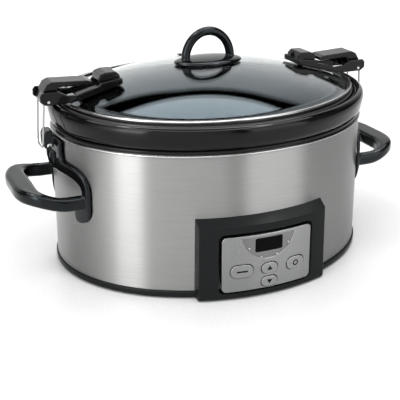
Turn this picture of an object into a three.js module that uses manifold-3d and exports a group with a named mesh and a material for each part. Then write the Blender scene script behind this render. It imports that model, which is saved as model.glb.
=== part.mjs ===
// Six-quart oval slow cooker with a clamping travel lid.
// Millimetres, +Z up. The origin is the middle of the oval, on the surface that the feet stand on.
// +X runs along the oval to the right-hand handle and the control panel faces -Y.
import * as THREE from 'three';
import { mergeVertices } from 'three/addons/utils/BufferGeometryUtils.js';
import Module from 'manifold-3d';

const wasm = await Module();
wasm.setup();

// ---------- driving dimensions ----------
const SEGMENTS = 40; // facets round every large oval, the same on all so that nested walls never cross
const GAP = 0.3; // clearance left where two pieces touch
const BODY = { long: 175, short: 143, bottom: 8.6, top: 153.5, wall: 0.8 }; // half-axes and heights of the shell
const SHORTER = BODY.long - BODY.short; // how much less the short half-axis is, all through the base
const BASE_BAND = { offset: 1.5, bottom: 1.5, top: 8.2, floor: 2.5 };
const LINER_FLOOR = 34.6;
const RIM_SEAT = 158.3; // height at which the stoneware rim rests on the collar
const FEET = { x: 118, y: 78, radius: 8.2, height: 3.9 };
const BEZEL = { halfWidth: 72, bottom: 2, top: 91, proud: 11 };
const PLATE = { halfWidth: 50, bottom: 10, top: 70, proud: 12.2, thick: 3 };
const BOARD_FRONT = -141.4; // y of the face of the control board
const HANDLE = { reach: 226, armOuter: 62, armInner: 51, bottom: 85.5, top: 100, rise: 6.5, proud: 4.2 };
const CATCH = { halfWidth: 9, face: 188, bottom: 138, top: 157 };
const DOME = { edge: 155.5, base: 184.6, rise: 27.4, ratio: 136.2 / 164.2 };
const KNOB = { long: 39, short: 24, loopHalfSpan: 26.5, loopRadius: 4.9, loopBase: 215, top: 250 };
const LEVER_PIVOT = { x: 183, z: 190 };
const BAIL_PIVOT = { x: 177, z: 197 };
const LEVER_HALF_WIDTH = 11.5;
const CHEEK = { inner: 14.5, outer: 17.5 };
const WIRE_RADIUS = 1;

const BUTTONS = [
  { name: 'select_button', x: -29.5, z: 32, width: 24, height: 14 },
  { name: 'off_button', x: 31, z: 31, width: 21, height: 14 },
  { name: 'up_button', x: 0.5, z: 31.5, width: 18, height: 12 },
  { name: 'down_button', x: 0.5, z: 16.8, width: 18, height: 11 },
];
const DISPLAY = { halfWidth: 14.8, bottom: 51, top: 65 };
const LIGHTS = [[-22, 56], [22, 56], [-9, 45.5], [9, 45.5]]; // x and z of the four indicator lights

// ---------- solids ----------
// Turns closed geometry into a solid: only positions are kept, shared corners are merged,
// triangles that collapse at a pole are dropped and the faces are made to point outwards.
function toSolid(geometry) {
  const bare = new THREE.BufferGeometry();
  bare.setAttribute('position', geometry.getAttribute('position'));
  if (geometry.index) bare.setIndex(geometry.index);
  const merged = mergeVertices(bare, 1e-4);
  const points = merged.getAttribute('position').array;
  const corners = merged.index.array;
  const kept = [];
  let volume = 0;
  const a = new THREE.Vector3();
  const b = new THREE.Vector3();
  const c = new THREE.Vector3();
  for (let i = 0; i < corners.length; i += 3) {
    const [p, q, r] = corners.slice(i, i + 3);
    if (p === q || q === r || r === p) continue;
    kept.push(p, q, r);
    a.fromArray(points, p * 3);
    b.fromArray(points, q * 3);
    c.fromArray(points, r * 3);
    volume += a.dot(b.cross(c));
  }
  if (volume < 0) {
    for (let i = 0; i < kept.length; i += 3) [kept[i + 1], kept[i + 2]] = [kept[i + 2], kept[i + 1]];
  }
  return new wasm.Manifold(new wasm.Mesh({
    numProp: 3,
    vertProperties: new Float32Array(points),
    triVerts: new Uint32Array(kept),
  }));
}

// The geometry of a finished solid, ready for a THREE.Mesh.
function toGeometry(solid) {
  const mesh = solid.getMesh();
  const geometry = new THREE.BufferGeometry();
  geometry.setAttribute('position', new THREE.Float32BufferAttribute(mesh.vertProperties, 3));
  geometry.setIndex(new THREE.Uint32BufferAttribute(mesh.triVerts, 1));
  geometry.computeVertexNormals();
  return geometry;
}

function joinAll(solids) {
  return solids.reduce((whole, piece) => whole.add(piece));
}

function cutAll(solid, tools) {
  return tools.reduce((left, tool) => left.subtract(tool), solid);
}

// A solid whose profile is carried round an oval. Each profile point is [long, short, height]:
// the half-axis along X, the half-axis along Y and Z.
function ovalSolid(profile, segments = SEGMENTS) {
  const first = profile[0];
  const last = profile[profile.length - 1];
  const outline = first[0] === 0 && last[0] === 0 ? profile : [...profile, first];
  const geometry = new THREE.LatheGeometry(outline.map(([long, , z]) => new THREE.Vector2(long, z)), segments);
  geometry.rotateX(Math.PI / 2);
  const position = geometry.getAttribute('position');
  for (let i = 0; i < position.count; i++) {
    const [long, short] = outline[i % outline.length];
    if (long > 0) position.setY(i, position.getY(i) * short / long);
  }
  return toSolid(geometry);
}

// Profile point of the base family of ovals: the short half-axis follows from the long one.
function baseOval(long, z) {
  return [long, long - SHORTER, z];
}

// A full oval block between two heights, standing outside the shell by the given offset.
function ovalBlock(offset, bottom, top) {
  const long = BODY.long + offset;
  const short = BODY.short + offset;
  return ovalSolid([[0, 0, bottom], [long, short, bottom], [long, short, top], [0, 0, top]]);
}

// How far from the X axis the shell's oval runs, at an x and an offset outside the shell.
function ovalDepth(x, offset) {
  const long = BODY.long + offset;
  return (BODY.short + offset) * Math.sqrt(1 - (x / long) ** 2);
}

function box(width, depth, height, x, y, z) {
  return toSolid(new THREE.BoxGeometry(width, depth, height).translate(x, y, z));
}

// An upright cylinder from z = bottom to z = top.
function post(radius, bottom, top, x = 0, y = 0, sides = 16) {
  const geometry = new THREE.CylinderGeometry(radius, radius, top - bottom, sides);
  return toSolid(geometry.rotateX(Math.PI / 2).translate(x, y, (top + bottom) / 2));
}

// A cylinder along Y.
function rodAlongY(radius, from, to, x, z, sides = 16) {
  const geometry = new THREE.CylinderGeometry(radius, radius, to - from, sides);
  return toSolid(geometry.translate(x, (from + to) / 2, z));
}

// A round turned piece about +Z; the profile is a list of [radius, height].
function turned(profile, sides = 16) {
  return ovalSolid(profile.map(([radius, z]) => [radius, radius, z]), sides);
}

// A shape drawn in X and Z, carried along Y from one y to another.
function slabAlongY(shape, from, to, curveSegments = 3) {
  const geometry = new THREE.ExtrudeGeometry(shape, { depth: to - from, bevelEnabled: false, curveSegments });
  return toSolid(geometry.rotateX(Math.PI / 2).translate(0, to, 0));
}

// A closed shape through corner points given as [across, up].
function polygon(points) {
  return new THREE.Shape(points.map(([across, up]) => new THREE.Vector2(across, up)));
}

// A rectangle with round corners.
function roundedRectangle(left, bottom, right, top, radius) {
  const shape = new THREE.Shape();
  shape.moveTo(left + radius, bottom);
  shape.lineTo(right - radius, bottom);
  shape.absarc(right - radius, bottom + radius, radius, -Math.PI / 2, 0);
  shape.lineTo(right, top - radius);
  shape.absarc(right - radius, top - radius, radius, 0, Math.PI / 2);
  shape.lineTo(left + radius, top);
  shape.absarc(left + radius, top - radius, radius, Math.PI / 2, Math.PI);
  shape.lineTo(left, bottom + radius);
  shape.absarc(left + radius, bottom + radius, radius, Math.PI, Math.PI * 1.5);
  return shape;
}

// The pill outline of a push button, grown by a margin.
function pill(button, margin) {
  const halfWidth = button.width / 2 + margin;
  const halfHeight = button.height / 2 + margin;
  const { x, z } = button;
  return roundedRectangle(x - halfWidth, z - halfHeight, x + halfWidth, z + halfHeight, halfHeight * 0.98);
}

// ---------- materials ----------
function material(color, roughness, metalness) {
  return new THREE.MeshStandardMaterial({ color, roughness, metalness });
}

const steel = material(0xb4b3b0, 0.32, 1);
const liningMetal = material(0x9a9c9d, 0.45, 1);
const brightSteel = material(0xd8d8d6, 0.15, 1);
const satinSilver = material(0xa4a6a8, 0.35, 0.8);
const darkPlastic = material(0x2c2e30, 0.5, 0);
const glossBlack = material(0x0c0c0d, 0.12, 0);
const rubber = material(0x151515, 0.8, 0);
const stoneware = material(0x08080a, 0.08, 0);
const glass = material(0x9fb0b8, 0.03, 0);
const smoked = material(0x050606, 0.08, 0);
const circuit = material(0x1f4a2e, 0.5, 0);
const zinc = material(0xb8babd, 0.35, 1);
const fibre = material(0xd9d3c4, 0.9, 0);
const buttonGrey = material(0xb0b2b5, 0.4, 0.2);
const lightPipe = material(0xe9e4da, 0.3, 0);

function piece(name, solid, surface, position = [0, 0, 0]) {
  const mesh = new THREE.Mesh(toGeometry(solid), surface);
  mesh.name = name;
  mesh.position.set(...position);
  return mesh;
}

// ---------- handle screws ----------
const SCREW = { y: 56, z: 93.5, head: 4, shank: 2, depth: 5.2 };
const screwX = BODY.long * Math.sqrt(1 - (SCREW.y / BODY.short) ** 2);
const screwTurn = Math.atan2(SCREW.y / BODY.short ** 2, screwX / BODY.long ** 2);

// Carries a solid that lies along +X to a screw place on the right-hand end of the shell.
function atScrew(solid, side) {
  return solid.rotate([0, 0, side * THREE.MathUtils.radToDeg(screwTurn)]).translate([screwX, side * SCREW.y, SCREW.z]);
}

function rodAlongX(radius, from, to, sides = 14) {
  const geometry = new THREE.CylinderGeometry(radius, radius, to - from, sides);
  return toSolid(geometry.rotateZ(-Math.PI / 2).translate((from + to) / 2, 0, 0));
}

function halfTurn(solid) {
  return solid.rotate([0, 0, 180]);
}

// ---------- base ----------
const CORD = { x: 0, z: 26, hole: 6 };
const POWER_BOARD = { x: 65, width: 80, depth: 60, bottom: 14, thick: 1.6 };

function outerShell() {
  const inside = BODY.long - BODY.wall;
  const lip = BODY.long - 6;
  const wall = ovalSolid([
    baseOval(inside, BODY.bottom),
    baseOval(BODY.long, BODY.bottom),
    baseOval(BODY.long, BODY.top - 1),
    baseOval(BODY.long - 0.8, BODY.top),
    baseOval(lip, BODY.top),
    baseOval(lip, BODY.top - BODY.wall),
    baseOval(inside, BODY.top - BODY.wall - 0.6),
  ]);
  const window = box(2 * 46.5, 40, 56, 0, -BODY.short, 40);
  const cordHole = rodAlongY(CORD.hole, 130, 155, CORD.x, CORD.z);
  const screwHoles = [-1, 1].map((side) => atScrew(rodAlongX(SCREW.shank + 0.6, -8, 8), side));
  return cutAll(wall, [window, cordHole, ...screwHoles, ...screwHoles.map(halfTurn)]);
}

function basePan() {
  const { offset, bottom, top, floor } = BASE_BAND;
  const outer = BODY.long + offset;
  const lip = BODY.long - BODY.wall - GAP;
  const tray = ovalSolid([
    [0, 0, bottom],
    baseOval(outer - 1, bottom),
    baseOval(outer, bottom + 1),
    baseOval(outer, top - 0.6),
    baseOval(outer - 0.6, top),
    baseOval(lip, top),
    baseOval(lip - 0.3, top + 6),
    baseOval(lip - 2.3, top + 6),
    baseOval(lip - 2.6, bottom + floor),
    [0, 0, bottom + floor],
  ]);
  const studDome = post(18, bottom, 9, 0, 0, 16);
  const bosses = corners(FEET.x, FEET.y).map(([x, y]) => post(11, bottom, 7, x, y, 16));
  const screwPosts = corners(FEET.x, FEET.y).map(([x, y]) => post(4.5, 6, 14, x, y, 10));
  const standoffs = corners(POWER_BOARD.width / 2 - 6, POWER_BOARD.depth / 2 - 6)
    .map(([x, y]) => post(3.5, bottom + 1, POWER_BOARD.bottom - GAP, POWER_BOARD.x + x, y, 8));
  const whole = joinAll([tray, studDome, ...bosses, ...screwPosts, ...standoffs]);
  const pockets = corners(FEET.x, FEET.y).flatMap(([x, y]) => [
    post(FEET.radius + 0.5, -1, FEET.height + GAP, x, y, 14),
    post(2.1, 0, 12.8, x, y, 10),
  ]);
  const nutPocket = post(15, -1, 6.2, 0, 0, 16);
  const studHole = post(2.9, 5, 10, 0, 0, 10);
  const slots = [];
  for (let row = -1; row <= 1; row += 2) {
    for (let i = 0; i < 4; i++) slots.push(box(3, 34, 8, -27 + 18 * i, row * 52, bottom));
  }
  return cutAll(whole, [...pockets, nutPocket, studHole, ...slots]);
}

// The four [x, y] corners of a rectangle centred on the origin.
function corners(x, y) {
  return [[x, y], [-x, y], [-x, -y], [x, -y]];
}

function foot() {
  return turned([[2.1, 2.4], [4.2, 2.4], [4.2, 0], [7.4, 0], [8.2, 0.8], [8.2, 3.9], [2.1, 3.9]], 14);
}

function footScrew() {
  return turned([[0, 0.7], [2.6, 0.7], [3.5, 1.3], [3.5, 2.1], [1.7, 2.1], [1.7, 11.5], [0, 12.4]], 10);
}

function topCollar() {
  return ovalSolid([
    baseOval(163.6, 154.9),
    baseOval(173.2, 154.9),
    baseOval(173.2, 153.9),
    baseOval(174.4, 153.9),
    baseOval(174.4, 156.8),
    baseOval(173.2, 158),
    baseOval(163.6, 158),
  ]);
}

function heatingLiner() {
  const outside = [
    [0, 0, LINER_FLOOR], baseOval(138, 36), baseOval(151, 44.5), baseOval(157, 60),
    baseOval(162, 152.6), baseOval(163.2, 153.8), baseOval(172, 153.8),
  ];
  const inside = [
    baseOval(172, 154.6), baseOval(162.6, 154.6), baseOval(161.2, 153.2), baseOval(156.1, 60.3),
    baseOval(150.2, 45.4), baseOval(137.6, 36.9), [0, 0, 35.5],
  ];
  return ovalSolid([...outside, ...inside]);
}

function heaterBand() {
  return ovalSolid([baseOval(157.7, 62), baseOval(159.5, 62), baseOval(162.2, 112), baseOval(160.4, 112)]);
}

function centreStud() {
  return turned([[0, 2], [2.4, 2], [2.4, 32.6], [10, 32.6], [10, LINER_FLOOR - GAP], [0, LINER_FLOOR - GAP]], 12);
}

function hexNut() {
  const outside = post(5, 2.8, 5.9, 0, 0, 6);
  return outside.subtract(post(2.8, 1, 8, 0, 0, 12));
}

function cordGland() {
  const ring = turned([[3.8, -3.6], [7.6, -3.6], [7.6, -1.5], [5.4, -1.5], [5.4, 0.6], [8.4, 0.6], [7.8, 2.6], [3.8, 2.6]]);
  return ring.rotate([-90, 0, 0]);
}

// ---------- handles, moulded with the escutcheon and the catch ----------
// The right-hand half of the escutcheon's outline, from the top middle round to the middle of the arch.
function escutcheonHalf() {
  const half = new THREE.Shape();
  half.moveTo(0, 150.5);
  half.lineTo(25, 150.5);
  half.quadraticCurveTo(21.5, 140, 25.6, 129.6);
  half.lineTo(38, 128.2);
  half.bezierCurveTo(54, 127, 65, 120, 65, 103);
  half.lineTo(65, 86);
  half.bezierCurveTo(65, 74, 58, 67, 47, 67);
  half.bezierCurveTo(42, 67, 42, 74, 44, 80);
  half.bezierCurveTo(46, 88, 56.5, 92, 56.5, 102);
  half.quadraticCurveTo(56.5, 115.5, 30, 115.5);
  half.lineTo(0, 114.5);
  return half.getPoints(5);
}

function escutcheon() {
  const half = escutcheonHalf();
  const mirrored = half.slice(1, -1).reverse().map((point) => new THREE.Vector2(-point.x, point.y));
  const shape = new THREE.Shape([...half, ...mirrored]);
  const geometry = new THREE.ExtrudeGeometry(shape, { depth: 80, bevelEnabled: false });
  geometry.rotateX(Math.PI / 2).rotateZ(Math.PI / 2).translate(120, 0, 0);
  const out = (share) => BODY.long + HANDLE.proud * share;
  const skin = ovalSolid([
    [0, 0, 60], baseOval(out(0.3), 60), baseOval(out(0.3), 67), baseOval(out(1), 86), baseOval(out(1), 152), [0, 0, 152],
  ]);
  return toSolid(geometry).intersect(skin);
}

// The flat loop of the grip, which climbs by HANDLE.rise towards its outer edge.
function handleLoop() {
  const { reach, armOuter, armInner, bottom, top, rise } = HANDLE;
  const grip = new THREE.Shape();
  grip.moveTo(150, -armOuter);
  grip.lineTo(178, -armOuter);
  grip.bezierCurveTo(206, -armOuter, reach, -46, reach, -14);
  grip.lineTo(reach, 14);
  grip.bezierCurveTo(reach, 46, 206, armOuter, 178, armOuter);
  grip.lineTo(150, armOuter);
  grip.lineTo(150, armInner);
  grip.lineTo(180, armInner);
  grip.bezierCurveTo(196, armInner, 202.5, 40, 202.5, 26);
  grip.lineTo(202.5, -26);
  grip.bezierCurveTo(202.5, -40, 196, -armInner, 180, -armInner);
  grip.lineTo(150, -armInner);
  const bevel = 3.2;
  const geometry = new THREE.ExtrudeGeometry(grip, {
    depth: top - bottom - 2 * bevel,
    bevelThickness: bevel,
    bevelSize: bevel,
    bevelOffset: -bevel,
    bevelSegments: 2,
    curveSegments: 6,
  });
  geometry.translate(0, 0, bottom + bevel);
  const position = geometry.getAttribute('position');
  for (let i = 0; i < position.count; i++) {
    const climb = rise * THREE.MathUtils.smoothstep(position.getX(i), 178, 218);
    position.setZ(i, position.getZ(i) + climb);
  }
  return toSolid(geometry);
}

// The downward hook that the wire loop of the latch goes under.
function latchCatch() {
  const { halfWidth, face, bottom, top } = CATCH;
  const side = polygon([
    [172, bottom + 2], [180, bottom + 2], [180, bottom + 5], [184.9, bottom + 5], [184.9, bottom],
    [face - 0.8, bottom], [face, bottom + 1.5], [face, top - 5], [face - 2, top], [178.6, top], [178.6, 152], [172, 152],
  ]);
  return slabAlongY(side, -halfWidth, halfWidth);
}

// Two upright ribs that stiffen the neck below the catch.
function neckRibs() {
  const side = polygon([[172, 116], [180.6, 116], [183, 128], [183, 132.5], [180.5, 135.5], [172, 135.5]]);
  return [-1, 1].map((way) => slabAlongY(side, way * 6.5 - 1.5, way * 6.5 + 1.5));
}

function handle() {
  const moulding = joinAll([escutcheon(), handleLoop(), latchCatch(), ...neckRibs()]);
  const screwBores = [-1, 1].map((side) => atScrew(rodAlongX(SCREW.shank + 0.4, -10, SCREW.depth + 0.4), side));
  return cutAll(moulding, [ovalBlock(GAP, 55, BODY.top + GAP), ovalBlock(0, BODY.top, RIM_SEAT), ...screwBores]);
}

function handleScrew(side) {
  const head = rodAlongX(SCREW.head, -4.2, -1.6);
  const shank = rodAlongX(SCREW.shank, -2, SCREW.depth);
  return atScrew(head.add(shank), side);
}

// ---------- control panel ----------
// The space between two ovals outside the shell, in front of the cooker only.
function frontLayer(from, to, bottom, top) {
  const outside = ovalBlock(to, bottom, top);
  const inside = ovalBlock(from, bottom - 1, top + 1);
  const front = box(200, 100, top - bottom + 2, 0, -BODY.short - 5, (bottom + top) / 2);
  return outside.subtract(inside).intersect(front);
}

function controlBezel() {
  const { halfWidth, bottom, top, proud } = BEZEL;
  const outline = new THREE.Shape();
  outline.moveTo(-halfWidth, bottom);
  outline.lineTo(halfWidth, bottom);
  outline.lineTo(halfWidth - 1, top - 1.5);
  outline.lineTo(halfWidth - 2.5, top);
  outline.lineTo(2.5 - halfWidth, top);
  outline.lineTo(1 - halfWidth, top - 1.5);
  const body = frontLayer(GAP, proud, bottom, top).intersect(slabAlongY(outline, -170, -100));
  const window = slabAlongY(roundedRectangle(-52.4, 7.6, 52.4, 72.4, 6), -170, -100);
  const slope = box(200, 30, 40, 0, 0, 20)
    .rotate([32, 0, 0])
    .translate([0, -BODY.short - proud + 2, top - 9]);
  const band = ovalBlock(BASE_BAND.offset + GAP, -1, BASE_BAND.top + GAP);
  return cutAll(body, [window, slope, band]);
}

function facePlate() {
  const { halfWidth, bottom, top, proud, thick } = PLATE;
  const outline = slabAlongY(roundedRectangle(-halfWidth, bottom, halfWidth, top, 5), -170, -100);
  const sheet = frontLayer(proud - thick, proud, bottom, top).intersect(outline);
  const smile = rodAlongY(30, -170, -150, 0, 73, 28).intersect(frontLayer(proud - 0.8, proud + 5, 20, top - 3));
  const lensHole = slabAlongY(roundedRectangle(
    -DISPLAY.halfWidth - 0.5, DISPLAY.bottom - 0.5, DISPLAY.halfWidth + 0.5, DISPLAY.top + 0.5, 2), -170, -100);
  const buttonHoles = BUTTONS.map((button) => slabAlongY(pill(button, 0.45), -170, -100));
  const lightHoles = LIGHTS.map(([x, z]) => rodAlongY(1.5, -170, -140, x, z, 12));
  return cutAll(sheet, [smile, lensHole, ...buttonHoles, ...lightHoles]);
}

function displayWindow() {
  const { halfWidth, bottom, top } = DISPLAY;
  const outline = slabAlongY(roundedRectangle(-halfWidth, bottom, halfWidth, top, 1.6), -170, -100);
  return frontLayer(PLATE.proud - 2.6, PLATE.proud - 0.6, bottom - 1, top + 1).intersect(outline);
}

function pushButton(button) {
  const { proud, thick } = PLATE;
  const cap = frontLayer(proud - thick - 1.6, proud + 0.8, 5, 60).intersect(slabAlongY(pill(button, 0), -170, -100));
  const flangeLayer = frontLayer(proud - thick - 1.6, proud - thick - 0.4, 5, 60);
  return cap.add(flangeLayer.intersect(slabAlongY(pill(button, 1.2), -170, -100)));
}

function keypad() {
  const sheet = box(80, 2, 28, 0, BOARD_FRONT - GAP - 1, 30);
  const domes = BUTTONS.map(({ x, z }) => {
    const tip = 1 - ovalDepth(Math.abs(x) + 3, PLATE.proud - PLATE.thick - 1.6 - 1.2);
    return rodAlongY(3, tip, BOARD_FRONT - GAP - 1, x, z, 12);
  });
  return joinAll([sheet, ...domes]);
}

function lightGuide([x, z]) {
  return rodAlongY(1.1, -ovalDepth(x, PLATE.proud + 0.3), BOARD_FRONT - 3, x, z, 10);
}

// ---------- crock ----------
function stonewareCrock() {
  return ovalSolid([
    [0, 0, 38], [130, 98, 38], [147, 115, 46], [152, 120, 58], [157.6, 125.6, 154], [161.4, 129.6, RIM_SEAT],
    [172.6, 143.6, RIM_SEAT], [176, 148.4, 162], [178, 151, 175], [176.8, 149.8, 180.2], [173, 145.6, 182.6],
    [169, 141, 181.6], [166.8, 138.8, 178.4], [152.6, 124.6, 178], [149.8, 121.8, 150], [144.6, 116.6, 62],
    [132, 104, 47], [0, 0, 45.4],
  ]);
}

// ---------- lid ----------
// Height of the outside of the glass at a distance along X from the middle.
function domeHeight(x) {
  return DOME.base + DOME.rise * Math.max(0, 1 - (x / DOME.edge) ** 2);
}

function lidGlass() {
  const profile = [];
  const inner = { edge: 152, base: 182.1, rise: 26 };
  const steps = 4;
  for (let i = 0; i <= steps; i++) {
    const x = inner.edge * i / steps;
    profile.push([x, x * DOME.ratio, inner.base + inner.rise * (1 - (x / inner.edge) ** 2)]);
  }
  profile.push([162.6, 162.6 * DOME.ratio, inner.base], [162.6, 162.6 * DOME.ratio, DOME.base]);
  for (let i = steps; i >= 0; i--) {
    const x = DOME.edge * i / steps;
    profile.push([x, x * DOME.ratio, domeHeight(x)]);
  }
  const knobHole = post(3.3, 195, 220, 0, 0, 12);
  const ventHole = post(4.1, -20, 20, 0, 0, 12).rotate(VENT.tilt).translate(VENT.place);
  const anchorHoles = [0, 180].map((turn) => post(3.7, -20, 20, 0, 0, 12)
    .rotate(ANCHOR.tilt).translate(ANCHOR.place).rotate([0, 0, turn]));
  return cutAll(ovalSolid(profile), [knobHole, ventHole, ...anchorHoles]);
}

// Where a fitting goes through the glass: its middle on the outside and the tilt of the glass there.
function throughGlass(x, y) {
  const along = Math.hypot(x, y / DOME.ratio);
  const slopeX = 2 * DOME.rise * x / DOME.edge ** 2;
  const slopeY = 2 * DOME.rise * y / (DOME.edge * DOME.ratio) ** 2;
  const tilt = [-THREE.MathUtils.radToDeg(Math.atan(slopeY)), THREE.MathUtils.radToDeg(Math.atan(slopeX)), 0];
  return { place: [x, y, domeHeight(along)], tilt };
}

const ANCHOR = throughGlass(116, 0);
const VENT = throughGlass(-2, 70);

function lidRimBand() {
  const side = (long, z) => [long, long - 28, z];
  return ovalSolid([
    side(157, 181.2), side(164.3, 181.2), side(164.3, 184.9), side(163.6, 185.7), side(160.5, 185.7),
    side(160.5, 185), side(163.6, 185), side(163.6, 181.8), side(157, 181.8),
  ]);
}

function lidGasket() {
  const side = (long, z) => [long, long - 28, z];
  return ovalSolid([side(154, 178.9), side(165.2, 178.9), side(165.7, 180), side(165.2, 180.9), side(154, 180.9)]);
}

function lidKnob() {
  const { long, short } = KNOB;
  const at = (share, z) => [long * share, short * share, z];
  const disc = ovalSolid([
    [0, 0, 212.5], at(0.92, 211.4), at(0.99, 211.8), at(1, 213), at(0.94, 214.8), at(0.75, 216.6), at(0.4, 217.8),
    [0, 0, 218.2],
  ], 28);
  const loopRise = KNOB.top - KNOB.loopRadius - KNOB.loopBase;
  const path = new THREE.CatmullRomCurve3(arcPoints(KNOB.loopHalfSpan, loopRise, KNOB.loopBase, 12));
  const section = new THREE.Shape().absellipse(0, 0, KNOB.loopRadius, KNOB.loopRadius, 0, Math.PI * 2);
  const loop = toSolid(new THREE.ExtrudeGeometry(section, { steps: 18, extrudePath: path, curveSegments: 5 }));
  return disc.add(loop).subtract(post(2.9, 205, 217.2, 0, 0, 12));
}

// Points of a half ellipse that stands in the X-Z plane.
function arcPoints(halfSpan, rise, base, steps) {
  const points = [];
  for (let i = 0; i <= steps; i++) {
    const angle = Math.PI * i / steps;
    points.push(new THREE.Vector3(-halfSpan * Math.cos(angle), 0, base + rise * Math.sin(angle)));
  }
  return points;
}

function knobScrew() {
  return turned([[0, 202.8], [3.6, 202.8], [5, 204], [5, 205.6], [2.4, 205.6], [2.4, 216.8], [0, 216.8]], 12);
}

function knobWasher() {
  return turned([[3.2, 205.9], [9, 205.9], [9, 207.3], [3.2, 207.3]], 16);
}

function ventGrommet() {
  return turned([[1.5, -5.8], [5.6, -5.8], [6, -4.6], [3.7, -4.5], [3.7, 0.6], [6.2, 0.6], [5.6, 2.1], [1.5, 2.1]], 12)
    .rotate(VENT.tilt).translate(VENT.place);
}

// ---------- latches, drawn at the right-hand end ----------
function latchAnchor() {
  return turned([[0, -6.4], [6, -6.4], [7, -5.6], [7, -4.4], [3, -4.4], [3, 9.6], [0, 9.6]], 12)
    .rotate(ANCHOR.tilt).translate(ANCHOR.place);
}

function latchFrame() {
  const arm = polygon([
    [104, 201.2], [152, 187.9], [160, 186.5], [186, 186.5], [191.5, 190.5], [191.5, 196.5], [189, 199.6],
    [172, 199.6], [163, 195], [152, 194.2], [129, 201], [126.4, 204.4], [105.4, 207], [104, 205],
  ]);
  const web = polygon([[104, 201.2], [150, 188.4], [150, 191], [128, 197.2], [126, 202], [104, 207]]);
  const pad = polygon([
    [105, 202], [127, 199], [128, 206], [126.6, 211.6], [120, 213.6], [109.5, 213.6], [105.6, 210],
  ]);
  const arms = [-1, 1].map((way) => {
    const middle = way * (CHEEK.inner + CHEEK.outer) / 2;
    return slabAlongY(arm, middle - 1.5, middle + 1.5);
  });
  const whole = joinAll([...arms, slabAlongY(web, -CHEEK.outer, CHEEK.outer), slabAlongY(pad, -12.5, 12.5)]);
  const pinHole = rodAlongY(1.9, -20, 20, LEVER_PIVOT.x, LEVER_PIVOT.z);
  const anchorHole = post(3.7, -20, 11, 0, 0, 12).rotate(ANCHOR.tilt).translate(ANCHOR.place);
  const recess = box(8, 9, 7, 104, 0, 209);
  return cutAll(whole, [pinHole, anchorHole, recess]);
}

function leverPin() {
  const { x, z } = LEVER_PIVOT;
  return rodAlongY(1.5, -CHEEK.outer - 0.6, CHEEK.outer + 0.6, x, z, 14);
}

function latchLever() {
  const side = polygon([
    [134, 203.4], [136, 201.6], [170, 203.2], [176, 194], [178.6, 187.2], [184, 185.2], [187.6, 185.6], [188.8, 190],
    [187, 199], [182.4, 206.6], [177, 209], [140, 207.2], [134.6, 205.6],
  ]);
  const hollow = polygon([
    [137, 199], [137, 203.6], [172, 205.2], [178.6, 205], [183.6, 197.6], [185.8, 190], [185.4, 182], [170, 182],
  ]);
  const flange = LEVER_HALF_WIDTH - 2.5;
  const whole = slabAlongY(side, -LEVER_HALF_WIDTH, LEVER_HALF_WIDTH);
  const pinHole = rodAlongY(1.9, -20, 20, LEVER_PIVOT.x, LEVER_PIVOT.z);
  const bailHole = rodAlongY(1.5, -20, 20, BAIL_PIVOT.x, BAIL_PIVOT.z);
  return cutAll(whole, [slabAlongY(hollow, -flange, flange), pinHole, bailHole]);
}

// One wire: in through the lever's side, out over the lever pin, down and across below the catch.
function wireBail() {
  const { x, z } = BAIL_PIVOT;
  const half = [
    [x, 8.2, z], [x, 12.1, z], [x + 1.5, 13.1, z - 0.2], [184.4, 13.1, 194.7], [187, 13.1, 190.2], [187.5, 12.9, 184],
    [189.9, 11.4, 147], [190.2, 10.2, 142], [190.2, 7.4, 140.6],
  ];
  const mirrored = half.map(([px, py, pz]) => [px, -py, pz]).reverse();
  const points = [...half, ...mirrored].map((point) => new THREE.Vector3(...point));
  const path = new THREE.CatmullRomCurve3(points, false, 'centripetal');
  const section = new THREE.Shape().absellipse(0, 0, WIRE_RADIUS, WIRE_RADIUS, 0, Math.PI * 2);
  return toSolid(new THREE.ExtrudeGeometry(section, { steps: 52, extrudePath: path, curveSegments: 3 }));
}

// ---------- assembly ----------
const cooker = new THREE.Group();

const base = new THREE.Group();
base.add(
  piece('outer_shell', outerShell(), steel),
  piece('base_pan', basePan(), darkPlastic),
  piece('top_collar', topCollar(), darkPlastic),
  piece('heating_liner', heatingLiner(), liningMetal),
  piece('heater_band', heaterBand(), fibre),
  piece('centre_stud', centreStud(), zinc),
  piece('centre_nut', hexNut(), zinc),
  piece('thermal_fuse', rodAlongY(2.4, -8, 8, 0, 0, 12), zinc, [-44, 34, 31]),
  piece('temperature_sensor', post(7, 28.4, 34.2, 0, 0, 16), zinc, [-34, -26, 0]),
  piece('power_board', box(POWER_BOARD.width, POWER_BOARD.depth, POWER_BOARD.thick, 0, 0, 0), circuit,
    [POWER_BOARD.x, 0, POWER_BOARD.bottom + POWER_BOARD.thick / 2]),
  piece('relay', box(20, 16, 14, 0, 0, 0), rubber, [POWER_BOARD.x + 10, 8, 23]),
  piece('cord_gland', cordGland(), rubber, [CORD.x, BODY.short, CORD.z]),
);
corners(FEET.x, FEET.y).forEach(([x, y], i) => {
  base.add(piece(`foot_${i + 1}`, foot(), rubber, [x, y, 0]));
  base.add(piece(`foot_screw_${i + 1}`, footScrew(), zinc, [x, y, 0]));
});
cooker.add(base);

const panel = new THREE.Group();
panel.add(
  piece('control_bezel', controlBezel(), darkPlastic),
  piece('face_plate', facePlate(), satinSilver),
  piece('display_window', displayWindow(), smoked),
  piece('display_module', box(32, 8.8, 18, 0, 0, 0), rubber, [0, -146.2, 58]),
  piece('control_board', box(86, 1.6, 50, 0, 0, 0), circuit, [0, BOARD_FRONT + 0.8, 40]),
  piece('keypad', keypad(), rubber),
);
LIGHTS.forEach((light, i) => panel.add(piece(`light_pipe_${i + 1}`, lightGuide(light), lightPipe)));
BUTTONS.forEach((button) => panel.add(piece(button.name, pushButton(button), buttonGrey)));
cooker.add(panel);

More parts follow.
